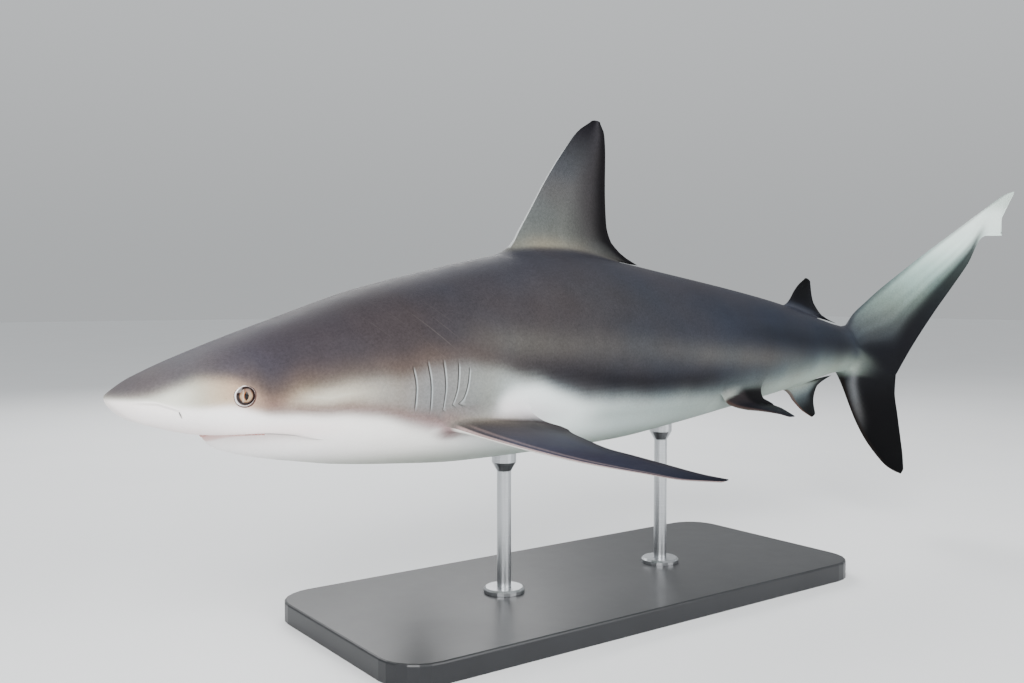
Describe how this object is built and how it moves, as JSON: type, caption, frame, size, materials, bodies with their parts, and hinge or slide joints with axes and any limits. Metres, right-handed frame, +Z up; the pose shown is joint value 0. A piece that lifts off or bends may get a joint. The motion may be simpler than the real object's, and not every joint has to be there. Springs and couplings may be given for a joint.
{
  "type": "reef shark display model",
  "caption": "Life-size still model of a reef shark, head level and tail swung in a gentle swimming bend, held above a plain board by two steel rods.",
  "frame": {"origin": "centre of the underside of the stand's board, on the floor, below the middle of the shark's body", "axes": "+X towards the shark's tail (its head looks toward -X), +Y towards the shark's right side, +Z up; the shark's left side faces -Y"},
  "size_m": [1.8951, 0.7938, 0.7716],
  "materials": {
    "back_skin": "fine-grained satin shark skin, grey-brown above",
    "pale_skin": "fine-grained satin shark skin, off-white below",
    "fin_skin": "fine-grained satin shark skin, dark grey fins",
    "eye": "clear gloss over a pale iris with a dark upright pupil",
    "stand_board": "satin black lacquer on a fibreboard plate",
    "stand_steel": "brushed stainless steel"
  },
  "bodies": {
    "root": {"anal_fin": "fin_skin", "eye_left": "eye", "eye_right": "eye", "first_dorsal_fin": "fin_skin", "head": "back_skin", "lower_jaw": "pale_skin", "pectoral_fin_left": "fin_skin", "pectoral_fin_right": "fin_skin", "pelvic_fin_left": "fin_skin", "pelvic_fin_right": "fin_skin", "second_dorsal_fin": "fin_skin", "stand_base": "stand_board", "stand_rod_front": "stand_steel", "stand_rod_rear": "stand_steel", "tail_fin_lower": "fin_skin", "tail_fin_upper": "fin_skin", "tail_stalk": "back_skin", "trunk": "back_skin"}
  },
  "joints": []
}
